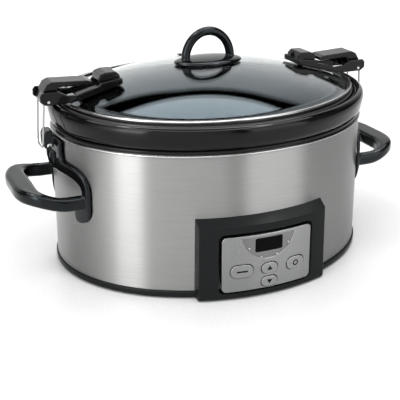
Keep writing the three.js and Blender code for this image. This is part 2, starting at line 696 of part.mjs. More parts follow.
const lid = new THREE.Group();
lid.add(
  piece('lid_glass', lidGlass(), glass),
  piece('lid_rim_band', lidRimBand(), brightSteel),
  piece('lid_gasket', lidGasket(), rubber),
  piece('lid_knob', lidKnob(), glossBlack),
  piece('knob_screw', knobScrew(), zinc),
  piece('knob_washer', knobWasher(), zinc),
  piece('vent_grommet', ventGrommet(), rubber),
);
cooker.add(piece('stoneware_crock', stonewareCrock(), stoneware), lid);

// Each end carries a handle and a latch; the left-hand end is the right-hand one turned half round.
[['right', 0], ['left', Math.PI]].forEach(([side, turn]) => {
  const end = new THREE.Group();
  end.rotation.z = turn;
  end.add(
    piece(`${side}_handle`, handle(), glossBlack),
    piece(`${side}_handle_screw_1`, handleScrew(1), zinc),
    piece(`${side}_handle_screw_2`, handleScrew(-1), zinc),
    piece(`${side}_latch_frame`, latchFrame(), darkPlastic),
    piece(`${side}_latch_anchor`, latchAnchor(), darkPlastic),
    piece(`${side}_lever_pin`, leverPin(), zinc),
    piece(`${side}_latch_lever`, latchLever(), darkPlastic),
    piece(`${side}_wire_bail`, wireBail(), brightSteel),
  );
  cooker.add(end);
});

export default cooker;
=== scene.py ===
"""The looks of the oval slow cooker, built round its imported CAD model.

The frame is the CAD model's: metres, +Z up, the control panel facing -Y. Lengths are written in
millimetres and multiplied by MM where they become geometry.
"""

import math

import bmesh
import bpy
import numpy as np
from mathutils import Matrix, Vector


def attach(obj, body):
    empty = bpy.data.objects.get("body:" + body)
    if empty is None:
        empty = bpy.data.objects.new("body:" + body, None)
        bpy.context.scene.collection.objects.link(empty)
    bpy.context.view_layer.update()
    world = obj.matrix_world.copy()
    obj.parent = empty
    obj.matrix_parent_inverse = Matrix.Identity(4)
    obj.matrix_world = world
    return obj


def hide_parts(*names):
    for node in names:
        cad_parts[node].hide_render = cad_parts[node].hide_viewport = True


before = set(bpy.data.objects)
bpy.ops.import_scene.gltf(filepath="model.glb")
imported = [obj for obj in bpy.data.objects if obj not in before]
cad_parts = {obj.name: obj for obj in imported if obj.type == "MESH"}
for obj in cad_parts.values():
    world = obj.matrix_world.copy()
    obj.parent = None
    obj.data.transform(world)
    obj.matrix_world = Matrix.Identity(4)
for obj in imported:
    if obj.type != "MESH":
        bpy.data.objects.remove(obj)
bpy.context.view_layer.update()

MM = 0.001
scene = bpy.context.scene
ROUND = 256  # segments round a large oval
SMALL = 72  # segments round a small turned piece
VOXEL_SCALE = 1.0
SHARP = 32  # degrees; a sharper bend between two faces is shaded as an edge
HALF_TURN = Matrix.Rotation(math.pi, 4, "Z")

# ---------- dimensions shared with the CAD model ----------
BODY_LONG, BODY_SHORT = 175, 143  # half-axes of the steel shell
SHORTER = BODY_LONG - BODY_SHORT  # each oval of the base is this much shorter along Y than along X
LID_SHORTER = 28  # the same for the rings of the lid
DOME_EDGE, DOME_RATIO = 155.5, 0.8295  # the dome's half-axis along X, and the one along Y over it
DOME_FOOT, DOME_RISE = 184.6, 27.4  # height of the dome's foot, and of its top above that
BEZEL_PROUD = 11  # how far the bezel stands out of the shell
PLATE_BACK, PLATE_PROUD = 9.2, 12.2  # back and front of the face plate, out of the shell
BUTTONS = {  # centre x, centre z, width, height
    "select_button": (-29.5, 32, 24, 14),
    "off_button": (31, 31, 21, 14),
    "up_button": (0.5, 31.5, 18, 12),
    "down_button": (0.5, 16.8, 18, 11),
}
BUTTON_BODY = {
    "select_button": "select_key",
    "off_button": "off_key",
    "up_button": "up_key",
    "down_button": "down_key",
}
DISPLAY = (-14.8, 51, 14.8, 65)  # left, bottom, right, top
LIGHTS = [(-22, 56), (22, 56), (-9, 45.5), (9, 45.5)]  # centre x, centre z


# ---------- node materials ----------
FINISH_PATCH = 22  # millimetres across the patches in which a surface's roughness varies
SHEET_RADIUS = 160  # about the steel wall's mean radius; turns an angle into a length along it


def node(tree, kind, inputs=None, **settings):
    """A new node, with its settings, and its inputs set to values or linked to sockets."""
    made = tree.nodes.new(kind)
    for key, value in settings.items():
        setattr(made, key, value)
    for key, value in (inputs or {}).items():
        if isinstance(value, bpy.types.NodeSocket):
            tree.links.new(value, made.inputs[key])
        else:
            made.inputs[key].default_value = value
    return made


def math_node(tree, operation, *values):
    return node(tree, "ShaderNodeMath", dict(enumerate(values)), operation=operation).outputs[0]


def ramp(tree, factor, stops):
    """A colour ramp through (position, colour) stops."""
    made = node(tree, "ShaderNodeValToRGB", {"Fac": factor})
    band = made.color_ramp
    while len(band.elements) < len(stops):
        band.elements.new(1.0)
    for element, (position, colour) in zip(band.elements, stops):
        element.position = position
        element.color = (*colour, 1)
    return made.outputs["Color"]


def grey(value):
    return (value, value, value)


def noise(tree, vector, size, detail=3.0):
    """Noise whose features are about `size` millimetres across."""
    inputs = {"Vector": vector, "Scale": 1 / (size * MM), "Detail": detail}
    return node(tree, "ShaderNodeTexNoise", inputs).outputs["Fac"]


def between(tree, value, low, high):
    """Spreads the middle of a noise over the range from low to high."""
    inputs = {"Value": value, "From Min": 0.3, "From Max": 0.7, "To Min": low, "To Max": high}
    return node(tree, "ShaderNodeMapRange", inputs).outputs["Result"]


def start_material(name, constants):
    """A new material, its node tree, its shader with the constants set, and the place on the piece."""
    material = bpy.data.materials.new(name)
    material.use_nodes = True
    tree = material.node_tree
    shader = tree.nodes["Principled BSDF"]
    for key, value in constants.items():
        shader.inputs[key].default_value = value
    where = node(tree, "ShaderNodeTexCoord").outputs["Object"]
    return material, tree, shader, where


def surface(name, dark, light, roughness, grain, relief, stretch=(1, 1, 1), **constants):
    """A surface with a fine grain that changes colour and height, and a broad unevenness of finish.

    roughness is (smoothest, roughest), grain is in millimetres and relief is the grain's height in
    millimetres. stretch squeezes the grain along an axis. The constants are shader inputs.
    """
    named = {key.replace("_", " "): value for key, value in constants.items()}
    material, tree, shader, where = start_material(name, named)
    squeezed = node(tree, "ShaderNodeMapping", {"Vector": where, "Scale": stretch}).outputs["Vector"]
    fine = noise(tree, squeezed, grain)
    broad = noise(tree, where, FINISH_PATCH)
    colour = ramp(tree, fine, [(0.3, dark), (0.7, light)])
    tree.links.new(colour, shader.inputs["Base Color"])
    tree.links.new(between(tree, broad, *roughness), shader.inputs["Roughness"])
    bump = {"Height": fine, "Distance": relief * MM, "Strength": 0.6}
    tree.links.new(node(tree, "ShaderNodeBump", bump).outputs["Normal"], shader.inputs["Normal"])
    return material


def brushed_wall():
    """Stainless sheet brushed round the oval body: streaks run along the wall, thin in height."""
    constants = {"Metallic": 1.0, "Anisotropic": 1.0, "Anisotropic Rotation": 0.25}
    material, tree, shader, where = start_material("brushed_stainless", constants)
    axes = node(tree, "ShaderNodeSeparateXYZ", {"Vector": where})
    across = math_node(tree, "DIVIDE", axes.outputs["X"], BODY_LONG * MM)
    depth = math_node(tree, "DIVIDE", axes.outputs["Y"], BODY_SHORT * MM)
    angle = math_node(tree, "ARCTAN2", depth, across)
    along = math_node(tree, "MULTIPLY", angle, SHEET_RADIUS * MM)

    def streaks(length, height):
        """Noise drawn out along the wall; length and height of a streak in millimetres."""
        inputs = {
            "X": math_node(tree, "MULTIPLY", along, height / length),
            "Z": axes.outputs["Z"],
        }
        vector = node(tree, "ShaderNodeCombineXYZ", inputs).outputs["Vector"]
        return noise(tree, vector, height, 4.0)

    hairline = streaks(28, 0.28)
    scratch = streaks(60, 1.1)
    mixed = math_node(tree, "MULTIPLY_ADD", scratch, 0.4, math_node(tree, "MULTIPLY", hairline, 0.6))
    colour = ramp(tree, mixed, [(0.34, (0.262, 0.262, 0.259)), (0.66, (0.31, 0.31, 0.306))])
    tree.links.new(colour, shader.inputs["Base Color"])
    tree.links.new(between(tree, hairline, 0.3, 0.36), shader.inputs["Roughness"])
    tangent = node(tree, "ShaderNodeTangent", direction_type="RADIAL", axis="Z")
    tree.links.new(tangent.outputs["Tangent"], shader.inputs["Tangent"])
    bump = {"Height": mixed, "Distance": 0.012 * MM, "Strength": 0.35}
    tree.links.new(node(tree, "ShaderNodeBump", bump).outputs["Normal"], shader.inputs["Normal"])
    return material


steel = brushed_wall()
bright_steel = surface(
    "polished_steel", grey(0.36), grey(0.44), (0.12, 0.2), 0.5, 0.002, Metallic=1.0)
liner_metal = surface(
    "liner_metal", grey(0.36), grey(0.47), (0.36, 0.5), 1.2, 0.01, (1, 1, 6), Metallic=1.0)
plate_silver = surface(
    "silver_plate", grey(0.22), (0.27, 0.274, 0.28), (0.26, 0.33), 0.35, 0.006, (0.08, 1, 1), Metallic=1.0)
button_silver = surface(
    "silver_buttons", grey(0.22), (0.27, 0.274, 0.28), (0.24, 0.32), 0.35, 0.004, Metallic=0.9)
satin_plastic = surface(
    "satin_grey_plastic", (0.0058, 0.0066, 0.0068), (0.0105, 0.0118, 0.0122), (0.2, 0.27), 0.35, 0.012,
    Specular_IOR_Level=0.07)
black_plastic = surface(
    "black_plastic", grey(0.002), grey(0.004), (0.1, 0.16), 0.4, 0.004, Specular_IOR_Level=0.2)
# Its bluish specular tint is a painted reflection colour: it stands in for the blue-grey studio light seen
# on the black gloss.
gloss_black = surface(
    "gloss_black_plastic", grey(0.0015), grey(0.003), (0.06, 0.1), 1.5, 0.004,
    Specular_IOR_Level=0.24, Specular_Tint=(0.82, 0.93, 1.0, 1))
stoneware = surface(
    "black_glaze", grey(0.0015), grey(0.003), (0.03, 0.05), 5.0, 0.012, Specular_IOR_Level=0.19)
rubber = surface("black_rubber", grey(0.012), grey(0.022), (0.55, 0.7), 0.3, 0.015)
smoked = surface(
    "smoked_window", grey(0.0008), grey(0.0016), (0.05, 0.09), 0.8, 0.001, Specular_IOR_Level=0.04)
zinc = surface("zinc_steel", grey(0.42), grey(0.55), (0.26, 0.4), 0.8, 0.006, Metallic=1.0)
fibre = surface("glass_fibre", (0.6, 0.56, 0.47), (0.78, 0.75, 0.68), (0.8, 0.95), 0.6, 0.08)
light_pipe = surface(
    "light_pipe", (0.55, 0.53, 0.48), (0.7, 0.68, 0.63), (0.2, 0.3), 0.5, 0.003, Transmission_Weight=0.5)
circuit = surface(
    "circuit_board", (0.005, 0.035, 0.015), (0.012, 0.075, 0.03), (0.3, 0.42), 1.4, 0.03, (1, 1, 0.2))
print_black = surface(
    "black_print", grey(0.001), grey(0.002), (0.4, 0.5), 0.3, 0.002, Specular_IOR_Level=0.08)
# Darker than the plate silver: painted shade for the shallow smile recess below the display.
recess_silver_painted_shade = surface(
    "recess_silver_painted_shade", grey(0.15), grey(0.19), (0.12, 0.17), 0.35, 0.003, Metallic=1.0)


def clear_glass():
    """Toughened glass with the faint waviness of a pressed dome."""
    # The bluish specular tint is painted light: it colours the glass's reflections the blue-grey of the
    # studio light.
    constants = {"Transmission Weight": 1.0, "IOR": 1.5, "Base Color": (0.93, 0.97, 0.97, 1),
                 "Specular IOR Level": 0.3, "Specular Tint": (0.55, 0.82, 1.0, 1)}
    material, tree, shader, where = start_material("clear_glass", constants)
    tree.links.new(between(tree, noise(tree, where, 30), 0.004, 0.03), shader.inputs["Roughness"])
    bump = {"Height": noise(tree, where, 45, 1.0), "Distance": 0.05 * MM, "Strength": 0.4}
    tree.links.new(node(tree, "ShaderNodeBump", bump).outputs["Normal"], shader.inputs["Normal"])
    return material


glass = clear_glass()


# ---------- geometry ----------
def to_object(name, bm, sharp=SHARP):
    """A linked object from a bmesh, smooth except at edges sharper than the angle in degrees."""
    bmesh.ops.recalc_face_normals(bm, faces=bm.faces)
    mesh = bpy.data.meshes.new(name)
    bm.to_mesh(mesh)
    bm.free()
    mesh.shade_smooth()
    mesh.set_sharp_from_angle(angle=math.radians(sharp))
    obj = bpy.data.objects.new(name, mesh)
    scene.collection.objects.link(obj)
    return obj


def apply_modifiers(obj):
    """Replaces the object's mesh by what its modifiers make of it."""
    evaluated = obj.evaluated_get(bpy.context.evaluated_depsgraph_get())
    mesh = bpy.data.meshes.new_from_object(evaluated)
    obj.modifiers.clear()
    obj.data = mesh


def soften(profile, size, steps=4):
    """The profile with its corners rounded off over `size` millimetres, or less on short sides."""
    points = [np.array(point, float) for point in profile]
    closed = points[0][0] > 0
    rounded = []
    for i, corner in enumerate(points):
        if not closed and i in (0, len(points) - 1):
            rounded.append(corner)
            continue
        ends = []
        for other in (points[i - 1], points[(i + 1) % len(points)]):
            way = other - corner
            ends.append(corner + way * min(0.46, size / np.linalg.norm(way)))
        for t in np.linspace(0, 1, steps + 1):
            rounded.append((1 - t) ** 2 * ends[0] + 2 * t * (1 - t) * corner + t * t * ends[1])
    return rounded


def oval_lathe(name, profile, segments=ROUND):
    """Carries a profile of [half-axis along X, half-axis along Y, height] round an oval.

    A profile that starts on the axis ends on it too; any other closes on itself.
    """
    bm = bmesh.new()
    turns = [(math.cos(a), math.sin(a)) for a in np.linspace(0, 2 * math.pi, segments, endpoint=False)]
    rings = []
    for long, short, z in profile:
        if long == 0:
            rings.append([bm.verts.new((0, 0, z * MM))] * segments)
        else:
            rings.append([bm.verts.new((long * c * MM, short * s * MM, z * MM)) for c, s in turns])
    pairs = list(zip(rings, rings[1:]))
    if profile[0][0] > 0:
        pairs.append((rings[-1], rings[0]))
    for low, high in pairs:
        for i in range(segments):
            j = (i + 1) % segments
            corners = list(dict.fromkeys([low[i], low[j], high[j], high[i]]))
            if len(corners) > 2:
                bm.faces.new(corners)
    return to_object(name, bm)


def turned(name, profile, soft):
    """A round turned piece; the profile is a list of (radius, height)."""
    return oval_lathe(name, soften([(r, r, z) for r, z in profile], soft, 3), SMALL)


def base_oval(long, z):
    """A profile point of the base, from its half-axis along X and its height."""
    return (long, long - SHORTER, z)


def lid_oval(long, z):
    """A profile point of the lid's rings."""
    return (long, long - LID_SHORTER, z)


def dome_oval(long, z):
    """A profile point of the glass dome."""
    return (long, long * DOME_RATIO, z)


def trace(start, *moves, steps):
    """Points along a path. A move is an end point, or one or two control points and then the end."""
    points = [np.array(start, float)]
    for move in moves:
        stations = [points[-1], *np.reshape(move, (-1, 2)).astype(float)]
        degree = len(stations) - 1
        count = steps if degree > 1 else 1
        for k in range(1, count + 1):
            t = k / count
            shares = [math.comb(degree, i) * t**i * (1 - t) ** (degree - i) for i in range(degree + 1)]
            points.append(sum(share * station for share, station in zip(shares, stations)))
    return [tuple(point) for point in points]


def arc(x, z, radius, start, end, steps=8):
    """Points of an arc, with its angles in degrees."""
    angles = np.radians(np.linspace(start, end, steps + 1))
    return [(x + radius * math.cos(a), z + radius * math.sin(a)) for a in angles]


def circle(x, z, radius):
    """Points of a whole circle, without its first point again at the end."""
    return arc(x, z, radius, 0, 345, 23)


def rounded_rectangle(left, bottom, right, top, radius):
    return (
        arc(right - radius, bottom + radius, radius, -90, 0)
        + arc(right - radius, top - radius, radius, 0, 90)
        + arc(left + radius, top - radius, radius, 90, 180)
        + arc(left + radius, bottom + radius, radius, 180, 270)
    )


def pill(x, z, width, height, margin=0.0):
    """A button's outline, larger by the margin all round. Its ends are just short of half circles."""
    w, h = width / 2 + margin, height / 2 + margin
    return rounded_rectangle(x - w, z - h, x + w, z + h, h * 0.98)


def flat_solid(outline, holes, back, front, bevel):
    """A bmesh in millimetres: an outline in X and Y with holes, from z = back to z = front."""
    curve = bpy.data.curves.new("outline", "CURVE")
    curve.dimensions = "2D"
    curve.fill_mode = "BOTH"
    for loop in [outline, *[hole[::-1] for hole in holes]]:
        spline = curve.splines.new("POLY")
        spline.points.add(len(loop) - 1)
        for point, (x, y) in zip(spline.points, loop):
            point.co = (x, y, 0, 1)
        spline.use_cyclic_u = True
    curve.extrude = (front - back) / 2 - bevel
    curve.bevel_depth = bevel
    curve.bevel_resolution = 3
    curve.offset = -bevel
    holder = bpy.data.objects.new("outline", curve)
    scene.collection.objects.link(holder)
    bpy.context.view_layer.update()
    mesh = bpy.data.meshes.new_from_object(holder.evaluated_get(bpy.context.evaluated_depsgraph_get()))
    bm = bmesh.new()
    bm.from_mesh(mesh)
    bpy.data.objects.remove(holder)
    bpy.data.meshes.remove(mesh)
    bmesh.ops.remove_doubles(bm, verts=bm.verts, dist=0.001)
    bmesh.ops.translate(bm, verts=bm.verts, vec=(0, 0, (front + back) / 2))
    return bm


def cut_into_strips(bm, step=2.5):
    """Cuts a flat solid every few millimetres in X, so that it can be bent.

    The cuts lie a little off the round numbers, where the outlines have their corners.
    """
    off_corners = 0.013
    xs = [vert.co.x for vert in bm.verts]
    for x in np.arange(math.ceil(min(xs) / step) * step + off_corners, max(xs), step):
        bmesh.ops.bisect_plane(
            bm, geom=bm.verts[:] + bm.edges[:] + bm.faces[:], plane_co=(x, 0, 0), plane_no=(1, 0, 0))


def oval_depth(x, offset):
    """How far from the X axis the wall runs at x, at an offset outside the shell."""
    return (BODY_SHORT + offset) * math.sqrt(1 - (x / (BODY_LONG + offset)) ** 2)


def oval_reach(y, offset):
    """How far from the Y axis the wall runs at y, at an offset outside the shell."""
    return (BODY_LONG + offset) * math.sqrt(1 - (y / (BODY_SHORT + offset)) ** 2)


def bend_to_front(bm):
    """Wraps a flat solid (X across, Y up, Z out of the wall) round the front of the cooker."""
    cut_into_strips(bm)
    for vert in bm.verts:
        x, up, out = vert.co
        vert.co = Vector((x, -oval_depth(x, out), up)) * MM


def bend_to_end(bm):
    """Wraps a flat solid round the right-hand end of the cooker."""
    cut_into_strips(bm)
    for vert in bm.verts:
        across, up, out = vert.co
        vert.co = Vector((oval_reach(across, out), across, up)) * MM


def level_normals(obj):
    """Shades broad faces by themselves, so that the roundings beside them don't smear over them."""
    obj.modifiers.new("normals", "WEIGHTED_NORMAL").keep_sharp = True
    return obj


def front_sheet(name, outline, holes, back, front, bevel):
    """A sheet on the front wall: its outline and holes, and how far its back and front stand out."""
    bm = flat_solid(outline, holes, back, front, bevel)
    bend_to_front(bm)
    return level_normals(to_object(name, bm))


def moulded(name, parts, voxel, passes):
    """Fuses overlapping parts into one moulding and rounds its edges. The parts are used up."""
    bm = bmesh.new()
    for part in parts:
        bm.from_mesh(part.data)
        bpy.data.objects.remove(part)
    obj = to_object(name, bm)
    fuse = obj.modifiers.new("fuse", "REMESH")
    fuse.mode = "VOXEL"
    fuse.voxel_size = voxel * VOXEL_SCALE * MM
    relax = obj.modifiers.new("relax", "SMOOTH")
    relax.iterations = passes
    apply_modifiers(obj)
    obj.data.shade_smooth()
    return obj


def side_slab(name, outline, from_y, to_y, bevel):
    """An outline in X and Z carried along Y, with rounded edges."""
    bm = flat_solid(outline, [], from_y, to_y, bevel)
    for vert in bm.verts:
        vert.co = Vector((vert.co.x, vert.co.z, vert.co.y)) * MM
    return to_object(name, bm)


def tube(name, points, radius):
    """A round rod that runs smoothly through points, in millimetres."""
    curve = bpy.data.curves.new(name, "CURVE")
    curve.dimensions = "3D"
    curve.bevel_depth = radius
    curve.bevel_resolution = 5
    curve.use_fill_caps = True
    curve.resolution_u = 12
    spline = curve.splines.new("BEZIER")
    spline.bezier_points.add(len(points) - 1)
    for knot, point in zip(spline.bezier_points, points):
        knot.co = point
        knot.handle_left_type = knot.handle_right_type = "AUTO"
    holder = bpy.data.objects.new(name, curve)
    scene.collection.objects.link(holder)
    bpy.context.view_layer.update()
    mesh = bpy.data.meshes.new_from_object(holder.evaluated_get(bpy.context.evaluated_depsgraph_get()))
    bm = bmesh.new()
    bm.from_mesh(mesh)
    bpy.data.objects.remove(holder)
    bmesh.ops.remove_doubles(bm, verts=bm.verts, dist=0.001)
    bmesh.ops.scale(bm, vec=(MM, MM, MM), verts=bm.verts)
    return to_object(name, bm, 50)


def box_cutter(low, high):
    """A box between two corners, in millimetres."""
    bm = bmesh.new()
    bmesh.ops.create_cube(bm, size=1)
    middle = (Vector(low) + Vector(high)) / 2
    size = Vector(high) - Vector(low)
    for vert in bm.verts:
        vert.co = (Vector(a * b for a, b in zip(vert.co, size)) + middle) * MM
    return to_object("cutter", bm)


def cut(obj, cutter):
    """Takes the cutter's shape out of the object. The cutter is used up."""
    difference = obj.modifiers.new("cut", "BOOLEAN")
    difference.operation = "DIFFERENCE"
    difference.object = cutter
    apply_modifiers(obj)
    bpy.data.objects.remove(cutter)
    obj.data.set_sharp_from_angle(angle=math.radians(SHARP))


def copy_of_node(node_name):
    """A fresh mesh with the shape of a CAD node, welded."""
    bm = bmesh.new()
    bm.from_mesh(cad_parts[node_name].data)
    bmesh.ops.remove_doubles(bm, verts=bm.verts, dist=0.01 * MM)
    return to_object(node_name + "_shape", bm)


def place(obj, body, look, nodes=()):
    """Gives a piece its material, its body and the CAD nodes that it stands for."""
    obj.data.materials.clear()
    obj.data.materials.append(look)
    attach(obj, body)
    if nodes:
        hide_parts(*nodes)
    return obj


def turned_copy(obj, name, matrix):
    """A second object with the same mesh, moved by the matrix."""
    twin = bpy.data.objects.new(name, obj.data)
    scene.collection.objects.link(twin)
    twin.matrix_world = matrix @ obj.matrix_world
    return twin


# ---------- base ----------
def build_base():
    shell = oval_lathe("shell_wall", soften([
        base_oval(174.2, 8.6), base_oval(175, 8.6), base_oval(175, 152.9), base_oval(174.4, 153.5),
        base_oval(169, 153.5), base_oval(169, 152.7), base_oval(174.2, 152.1),
    ], 0.5))
    cut(shell, box_cutter((-46.5, -170, 12), (46.5, -120, 68)))  # behind the control panel
    cut(shell, box_cutter((-4, 120, 22), (4, 160, 30)))  # for the cord gland
    place(shell, "base", steel, ["outer_shell"])

    # The bead takes the brighter polished steel rather than the brushed wall's: a painted highlight for the
    # bright line along the shell's top edge.
    bead_long, bead_height, bead_radius = 175.3, 152.2, 1.1
    bead = oval_lathe("shell_rim_bead", [
        base_oval(bead_long + bead_radius * math.cos(turn), bead_height + bead_radius * math.sin(turn))
        for turn in np.linspace(0, 2 * math.pi, 14, endpoint=False)])
    place(bead, "base", bright_steel)

    collar = oval_lathe("collar_ring", soften([
        base_oval(163.6, 154.9), base_oval(173.2, 154.9), base_oval(173.2, 153.9), base_oval(174.4, 153.9),
        base_oval(174.4, 156.8), base_oval(173.2, 158), base_oval(163.6, 158),
    ], 0.5))
    place(collar, "base", black_plastic, ["top_collar"])

    band = oval_lathe("foot_band", soften([
        base_oval(172, 1.4), base_oval(175.4, 1.4), base_oval(176.7, 2.6), base_oval(176.7, 7.4),
        base_oval(175.6, 8.4), base_oval(172, 8.4),
    ], 0.6))
    place(band, "base", satin_plastic)

    liner = oval_lathe("liner_bowl", soften([
        (0, 0, 34.6), base_oval(138, 36), base_oval(151, 44.5), base_oval(157, 60), base_oval(162, 152.6),
        base_oval(163.2, 153.8), base_oval(172, 153.8), base_oval(172, 154.6), base_oval(162.6, 154.6),
        base_oval(161.2, 153.2), base_oval(156.1, 60.3), base_oval(150.2, 45.4), base_oval(137.6, 36.9),
        (0, 0, 35.5),
    ], 5))
    place(liner, "base", liner_metal, ["heating_liner"])

    gland = turned("gland_ring", [
        (3.8, -3.6), (7.6, -3.6), (7.6, -1.5), (5.4, -1.5), (5.4, 0.6), (8.4, 0.6), (7.8, 2.6), (3.8, 2.6),
    ], 0.5)
    facing_back = Matrix.Rotation(-math.pi / 2, 4, "X")
    gland.matrix_world = Matrix.Translation((0, BODY_SHORT * MM, 26 * MM)) @ facing_back
    place(gland, "base", rubber, ["cord_gland"])

    pattern = turned("foot_pad", [
        (2.1, 2.4), (4.2, 2.4), (4.2, 0), (7.4, 0), (8.2, 0.8), (8.2, 3.9), (2.1, 3.9),
    ], 0.5)
    spots = [(118, 78), (-118, 78), (-118, -78), (118, -78)]
    for i, (x, y) in enumerate(spots, 1):
        foot = turned_copy(pattern, f"rubber_foot_{i}", Matrix.Translation((x * MM, y * MM, 0)))
        place(foot, "base", rubber, [f"foot_{i}"])
    bpy.data.objects.remove(pattern)


# ---------- handles ----------
def build_handles():
    grip = trace(
        (150, -62), (178, -62), (206, -62, 226, -46, 226, -14), (226, 14), (226, 46, 206, 62, 178, 62),
        (150, 62), (150, 51), (180, 51), (196, 51, 202.5, 40, 202.5, 26), (202.5, -26),
        (202.5, -40, 196, -51, 180, -51), (150, -51), steps=16)
    bm = flat_solid(grip, [], back=85.5, front=100, bevel=4.6)
    climb_start, climb_length, climb_height = 178, 40, 6.5
    for vert in bm.verts:  # the loop climbs towards its outer edge
        share = min(1.0, max(0.0, (vert.co.x - climb_start) / climb_length))
        vert.co.z += climb_height * share * share * (3 - 2 * share)
    bmesh.ops.scale(bm, vec=(MM, MM, MM), verts=bm.verts)
    loop = to_object("grip", bm)

    half = trace(
        (0, 150.5), (25, 150.5), (21.5, 140, 25.6, 129.6), (38, 128.2), (54, 127, 65, 120, 65, 103),
        (65, 86), (65, 74, 58, 67, 47, 67), (42, 67, 42, 74, 44, 80), (46, 88, 56.5, 92, 56.5, 102),
        (56.5, 115.5, 30, 115.5), (0, 114.5), steps=12)
    outline = half + [(-y, z) for y, z in reversed(half[1:-1])]
    bm = flat_solid(outline[::-1], [], back=0.4, front=4.2, bevel=1.5)
    leg_foot, leg_top, thinnest = 67, 86, 0.3
    bmesh.ops.bisect_plane(
        bm, geom=bm.verts[:] + bm.edges[:] + bm.faces[:], plane_co=(0, leg_top, 0), plane_no=(0, 1, 0))
    for vert in bm.verts:  # the legs thin out towards their feet
        share = min(1.0, max(0.0, (vert.co.y - leg_foot) / (leg_top - leg_foot)))
        vert.co.z *= thinnest + (1 - thinnest) * share
    bend_to_end(bm)
    plate = to_object("escutcheon", bm)

    hook = side_slab("hook", [
        (172, 140), (180, 140), (180, 143), (184.9, 143), (184.9, 138), (187.2, 138), (188, 139.5),
        (188, 152), (186, 157), (178.8, 157), (178.8, 152), (172, 152),
    ], -9, 9, 0.5)
    ribs = [
        side_slab("rib", [(172, 116), (180.6, 116), (183, 128), (183, 132.5), (180.5, 135.5), (172, 135.5)],
                  y - 1.5, y + 1.5, 0.5)
        for y in (-6.5, 6.5)
    ]
    right = moulded("right_handle_moulding", [loop, plate, hook, *ribs], voxel=0.75, passes=6)
    left = turned_copy(right, "left_handle_moulding", HALF_TURN)
    for obj, side in ((right, "right"), (left, "left")):
        place(obj, "base", gloss_black, [f"{side}_handle"])


# ---------- control panel ----------
def build_panel():
    left, right, top = -72, 72, 91
    outline = [
        (left, 2), (right, 2), (right - 1, top - 1.5), (right - 2.5, top), (left + 2.5, top),
        (left + 1, top - 1.5)]
    window = rounded_rectangle(-52.4, 7.6, 52.4, 72.4, 6)
    bm = flat_solid(outline, [window], back=-1.5, front=BEZEL_PROUD, bevel=1.1)
    slope = math.radians(32)  # the top edge is cut off at this angle
    bmesh.ops.bisect_plane(
        bm, geom=bm.verts[:] + bm.edges[:] + bm.faces[:], plane_co=(0, 82, BEZEL_PROUD - 2),
        plane_no=(0, math.cos(slope), math.sin(slope)), clear_outer=True)
    bmesh.ops.holes_fill(bm, edges=[edge for edge in bm.edges if edge.is_boundary])
    bend_to_front(bm)
    bezel = level_normals(to_object("panel_bezel", bm))
    place(bezel, "base", satin_plastic, ["control_bezel"])

    plate_outline = rounded_rectangle(-50, 10, 50, 70, 5)
    smile_centre, smile_radius, gap = 73, 30, 0.45  # the smile is the recess below the display
    smile = arc(0, smile_centre, smile_radius, 191.54, 348.46, 40)
    holes = [smile] + [pill(*button, gap) for button in BUTTONS.values()]
    plate = front_sheet("panel_plate", plate_outline, holes, PLATE_BACK, PLATE_PROUD, 0.7)
    place(plate, "base", plate_silver, ["face_plate"])

    left, bottom, right, top = DISPLAY
    lens_hole = rounded_rectangle(left - 0.5, bottom - 0.5, right + 0.5, top + 0.5, 2)
    pipe_holes = [circle(x, z, 1.5) for x, z in LIGHTS]
    wide_smile = arc(0, smile_centre, smile_radius + 1, 190, 350, 40)
    # The recess takes a darker silver than the plate: painted shade in its hollow.
    recess = front_sheet(
        "plate_recess", wide_smile, [lens_hole, *pipe_holes], PLATE_BACK, PLATE_PROUD - 0.8, 0.15)
    place(recess, "base", recess_silver_painted_shade)

    lens = front_sheet(
        "display_lens", rounded_rectangle(*DISPLAY, 1.6), [], PLATE_PROUD - 2.6, PLATE_PROUD - 0.6, 0.35)
    place(lens, "base", smoked, ["display_window"])

    for name, (x, z, width, height) in BUTTONS.items():
        cap = front_sheet(name + "_cap", pill(x, z, width, height), [], 7.6, PLATE_PROUD + 0.8, 0.7)
        place(cap, BUTTON_BODY[name], button_silver, [name])

    marks = {  # points of each mark, from the middle of its button
        "up_button": [(-3, -2), (3, -2), (0, 2.6)],
        "down_button": [(-3, 2), (0, -2.6), (3, 2)],
        "select_button": rounded_rectangle(-6, -0.8, 6, 0.8, 0.7),
        "off_button": circle(0, 0, 3.2),
    }
    for name, mark in marks.items():
        x, z = BUTTONS[name][:2]
        hole = [circle(x, z, 1.9)] if name == "off_button" else []
        shape = [(x + u, z + v) for u, v in mark]
        printed = front_sheet(name + "_mark", shape, hole, PLATE_PROUD + 0.5, PLATE_PROUD + 0.9, 0.0)
        place(printed, BUTTON_BODY[name], print_black)


# ---------- crock ----------
def build_crock():
    crock = oval_lathe("glazed_crock", soften([
        (0, 0, 38), (130, 98, 38), (147, 115, 46), (152, 120, 58), (157.6, 125.6, 154),
        (161.4, 129.6, 158.3), (172.6, 143.6, 158.3), (176, 148.4, 162), (178, 151, 175),
        (176.8, 149.8, 180.2), (173, 145.6, 182.6), (169, 141, 181.6), (166.8, 138.8, 178.4),
        (152.6, 124.6, 178), (149.8, 121.8, 150), (144.6, 116.6, 62), (132, 104, 47), (0, 0, 45.4),
    ], 4, 6))
    place(crock, "crock", stoneware, ["stoneware_crock"])


# ---------- lid ----------
def dome_height(x):
    """Height of the dome's outside at x on its long axis."""
    return DOME_FOOT + DOME_RISE * max(0.0, 1 - (x / DOME_EDGE) ** 2)


def through_glass(x, y):
    """The matrix that carries an upright fitting to its place on the dome, standing square to it."""
    along = math.hypot(x, y / DOME_RATIO)
    slope_x = 2 * DOME_RISE * x / DOME_EDGE**2
    slope_y = 2 * DOME_RISE * y / (DOME_EDGE * DOME_RATIO) ** 2
    turn = Matrix.Rotation(math.atan(slope_x), 4, "Y") @ Matrix.Rotation(-math.atan(slope_y), 4, "X")
    return Matrix.Translation(Vector((x, y, dome_height(along))) * MM) @ turn


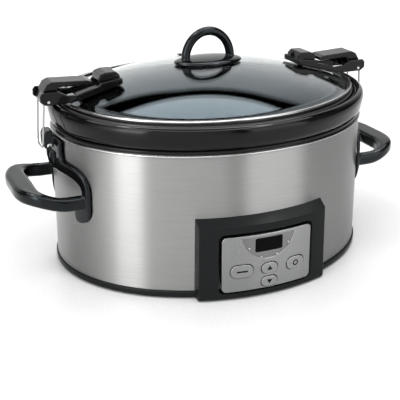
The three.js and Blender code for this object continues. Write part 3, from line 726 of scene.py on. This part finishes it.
def build_lid():
    steps = 24
    inner_edge, inner_foot, inner_rise = 152, 182.1, 26
    inner = [inner_edge * i / steps for i in range(steps + 1)]
    outer = [DOME_EDGE * i / steps for i in range(steps + 1)]
    profile = [dome_oval(x, inner_foot + inner_rise * (1 - (x / inner_edge) ** 2)) for x in inner]
    profile += [dome_oval(162.2, inner_foot), dome_oval(162.6, 182.5)]
    profile += [dome_oval(162.6, 184.2), dome_oval(162.2, DOME_FOOT)]
    profile += [dome_oval(x, dome_height(x)) for x in reversed(outer)]
    dome = oval_lathe("glass_dome", profile)
    place(dome, "lid", glass, ["lid_glass"])

    band = oval_lathe("rim_ring", soften([
        lid_oval(157, 181.2), lid_oval(164.3, 181.2), lid_oval(164.3, 184.9), lid_oval(163.6, 185.7),
        lid_oval(160.5, 185.7), lid_oval(160.5, 185), lid_oval(163.6, 185), lid_oval(163.6, 181.8),
        lid_oval(157, 181.8),
    ], 0.4))
    place(band, "lid", bright_steel, ["lid_rim_band"])

    seal = oval_lathe("seal_ring", soften([
        lid_oval(154, 178.9), lid_oval(165.2, 178.9), lid_oval(165.7, 180), lid_oval(165.2, 180.9),
        lid_oval(154, 180.9),
    ], 0.5))
    place(seal, "lid", rubber, ["lid_gasket"])

    disc_long, disc_short = 39, 24
    disc = oval_lathe("disc", [(disc_long * share, disc_short * share, z) for share, z in [
        (0, 212.5), (0.92, 211.4), (0.97, 211.5), (0.99, 211.8), (1, 212.4), (1, 213), (0.98, 213.8),
        (0.94, 214.6), (0.86, 215.5), (0.75, 216.2), (0.55, 216.9), (0.3, 217.4), (0, 217.6)]])
    half_width, rise, foot_height, bar_radius = 26.5, 30.1, 215, 4.9
    arch = [(-half_width * math.cos(turn), 0, foot_height + rise * math.sin(turn))
            for turn in np.linspace(0, math.pi, 13)]
    knob = moulded("knob_moulding", [disc, tube("arch", arch, bar_radius)], voxel=0.5, passes=8)
    place(knob, "lid", gloss_black, ["lid_knob"])

    grommet = turned("vent_ring", [
        (1.5, -5.8), (5.6, -5.8), (6, -4.6), (3.7, -4.5), (3.7, 0.6), (6.2, 0.6), (5.6, 2.1), (1.5, 2.1),
    ], 0.5)
    grommet.matrix_world = through_glass(-2, 70)
    place(grommet, "lid", rubber, ["vent_grommet"])


# ---------- latches ----------
def build_latches():
    """Both latches, made at the right-hand end and copied half a turn round to the left-hand one."""
    wire = [  # half of the loop, from its end in the lever down to the cross wire
        (177, 8.2, 197), (177, 12.1, 197), (178.5, 13.1, 196.8), (184.4, 13.1, 194.7), (187, 13.1, 190.2),
        (187.5, 12.9, 184), (189.9, 11.4, 147), (190.2, 10.2, 142), (190.2, 7.4, 140.6),
    ]
    path = wire + [(x, -y, z) for x, y, z in reversed(wire)]
    bail = tube("right_wire_loop", path, radius=1.0)
    arms = moulded("right_frame_moulding", [copy_of_node("right_latch_frame")], voxel=0.42, passes=4)
    lever = moulded("right_lever_moulding", [copy_of_node("right_latch_lever")], voxel=0.4, passes=4)
    rows = [
        (bail, "wire_loop", "bail", bright_steel, "bright_steel", "wire_bail"),
        (arms, "frame_moulding", None, black_plastic, "dark_plastic", "latch_frame"),
        (lever, "lever_moulding", "lever", black_plastic, "dark_plastic", "latch_lever"),
    ]
    for obj, name, body, look, slot, stands_for in rows:
        twin = turned_copy(obj, "left_" + name, HALF_TURN)
        for piece, side in ((obj, "right"), (twin, "left")):
            rides = f"{side}_{body}" if body else "lid"
            place(piece, rides, look, [f"{side}_{stands_for}"])


# ---------- CAD pieces that are shown as they are, with softened edges ----------
def dress_cad_nodes():
    looks = {
        "base_pan": (satin_plastic, 0.5),
        "heater_band": (fibre, 0.2), "centre_stud": (zinc, 0.3), "centre_nut": (zinc, 0.4),
        "thermal_fuse": (zinc, 0.4), "temperature_sensor": (zinc, 0.4),
        "power_board": (circuit, 0.2), "relay": (rubber, 0.5),
        "display_module": (rubber, 0.4), "control_board": (circuit, 0.2), "keypad": (rubber, 0.3),
        "knob_screw": (zinc, 0.2), "knob_washer": (zinc, 0.2),
    }
    for i in range(1, 5):
        looks[f"foot_screw_{i}"] = (zinc, 0.25)
        looks[f"light_pipe_{i}"] = (light_pipe, 0.2)
    for side in ("left", "right"):
        looks[f"{side}_lever_pin"] = (zinc, 0.25)
        looks[f"{side}_latch_anchor"] = (black_plastic, 0.3)
        for i in (1, 2):
            looks[f"{side}_handle_screw_{i}"] = (zinc, 0.25)
    for name, (look, edge) in looks.items():
        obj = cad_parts[name]
        obj.data.materials.clear()
        obj.data.materials.append(look)
        obj.modifiers.new("weld", "WELD").merge_threshold = 0.005 * MM
        bevel = obj.modifiers.new("edge", "BEVEL")
        bevel.width = edge * MM
        bevel.segments = 3
        bevel.limit_method = "ANGLE"
        bevel.angle_limit = math.radians(40)


# ---------- studio ----------
def build_floor():
    bm = bmesh.new()
    bmesh.ops.create_grid(bm, x_segments=2, y_segments=2, size=15)
    floor = to_object("studio_floor", bm)
    material, tree, shader, where = start_material("pale_floor", {"Specular IOR Level": 0.35})
    speckle = ramp(tree, noise(tree, where, 3), [(0.3, grey(0.545)), (0.7, grey(0.585))])
    tree.links.new(speckle, shader.inputs["Base Color"])
    tree.links.new(between(tree, noise(tree, where, 60), 0.22, 0.24), shader.inputs["Roughness"])
    floor.data.materials.append(material)


def build_world():
    """A studio by direction: walls up to 42 degrees, a dark gap, a soft ring overhead, a bright hoop
    above it at about 65 degrees, and a dim ceiling.

    Along the horizon the walls are lit in upright panels, so the brushed steel shows upright bands.
    Heights are half of one plus the sine of the elevation.
    """
    strength = 3.0
    hoop = 4.2  # brightness of the hoop, against 1 for the soft ring
    world = bpy.data.worlds.new("studio")
    scene.world = world
    world.use_nodes = True
    tree = world.node_tree
    background = tree.nodes["Background"]
    axes = node(tree, "ShaderNodeSeparateXYZ", {
        "Vector": node(tree, "ShaderNodeTexCoord").outputs["Generated"]})
    backwards = math_node(tree, "MULTIPLY", axes.outputs["Y"], -1.0)
    azimuth = math_node(tree, "ARCTAN2", axes.outputs["X"], backwards)
    turn = math_node(tree, "MULTIPLY_ADD", azimuth, 0.5 / math.pi, 0.5)

    def by_azimuth(stops):
        return ramp(tree, turn, [(0.5 + degrees / 360, grey(value)) for degrees, value in stops])

    panels = [  # azimuth in degrees from the front, towards the right; brightness
        (-180, 1.1), (-140, 0.9), (-128, 0.1), (-108, 0.2), (-92, 1.2), (-78, 3.0), (-70, 7.3), (-55, 7.3),
        (-50, 1.58), (0, 1.03), (8, 0.1), (12, 0.0), (17, 2.7), (49, 2.65), (55, 0.3), (84, 0.1), (92, 0.0),
        (106, 0.1), (122, 0.4), (140, 1.0), (180, 1.1),
    ]
    walls = by_azimuth([(degrees, value / strength) for degrees, value in panels])
    height = math_node(tree, "MULTIPLY_ADD", axes.outputs["Z"], 0.5, 0.5)
    sink = [  # azimuth; how much lower the top edge of the rear wall lies there
        (-180, 0.035), (-170, 0.05), (-150, 0.05), (-130, 0.0), (95, 0.0), (108, 0.05), (122, 0.03),
        (136, 0.0), (162, 0.0), (172, 0.02), (180, 0.035),
    ]
    wall_height = math_node(tree, "ADD", height, by_azimuth(sink))
    in_walls = ramp(tree, wall_height, [
        (0.0, grey(0.5)), (0.5, grey(1.0)), (0.83, grey(1.0)), (0.838, grey(0.0))])
    overhead = ramp(tree, height, [
        (0.866, grey(0.0)), (0.871, grey(1.0)), (0.942, grey(1.0)), (0.945, grey(hoop)),
        (0.96, grey(hoop)), (0.963, grey(0.3)), (1.0, grey(0.3))])
    lit = node(tree, "ShaderNodeVectorMath", {0: walls, 1: in_walls}, operation="MULTIPLY").outputs[0]
    both = node(tree, "ShaderNodeVectorMath", {0: lit, 1: overhead}, operation="ADD").outputs[0]
    tree.links.new(both, background.inputs["Color"])
    background.inputs["Strength"].default_value = strength


def build_camera():
    """The view of the reference: a little left of the front and about 20 degrees above."""
    azimuth, elevation, distance = math.radians(-23.6), math.radians(19.68), 1.03
    target = Vector((0, 0, 0.095))
    level = math.cos(elevation)
    back = Vector((math.sin(azimuth) * level, -math.cos(azimuth) * level, math.sin(elevation)))
    camera = bpy.data.objects.new("camera", bpy.data.cameras.new("camera"))
    scene.collection.objects.link(camera)
    camera.location = target + back * distance
    camera.rotation_euler = back.to_track_quat("Z", "Y").to_euler()
    camera.data.sensor_width = 36
    camera.data.lens = 81.45
    camera.data.shift_x = -0.0197
    camera.data.shift_y = -0.0964
    scene.camera = camera


build_base()
build_handles()
build_panel()
build_crock()
build_lid()
build_latches()
dress_cad_nodes()
build_floor()
build_world()
build_camera()
scene.view_settings.view_transform = "Standard"
scene.view_settings.look = "None"
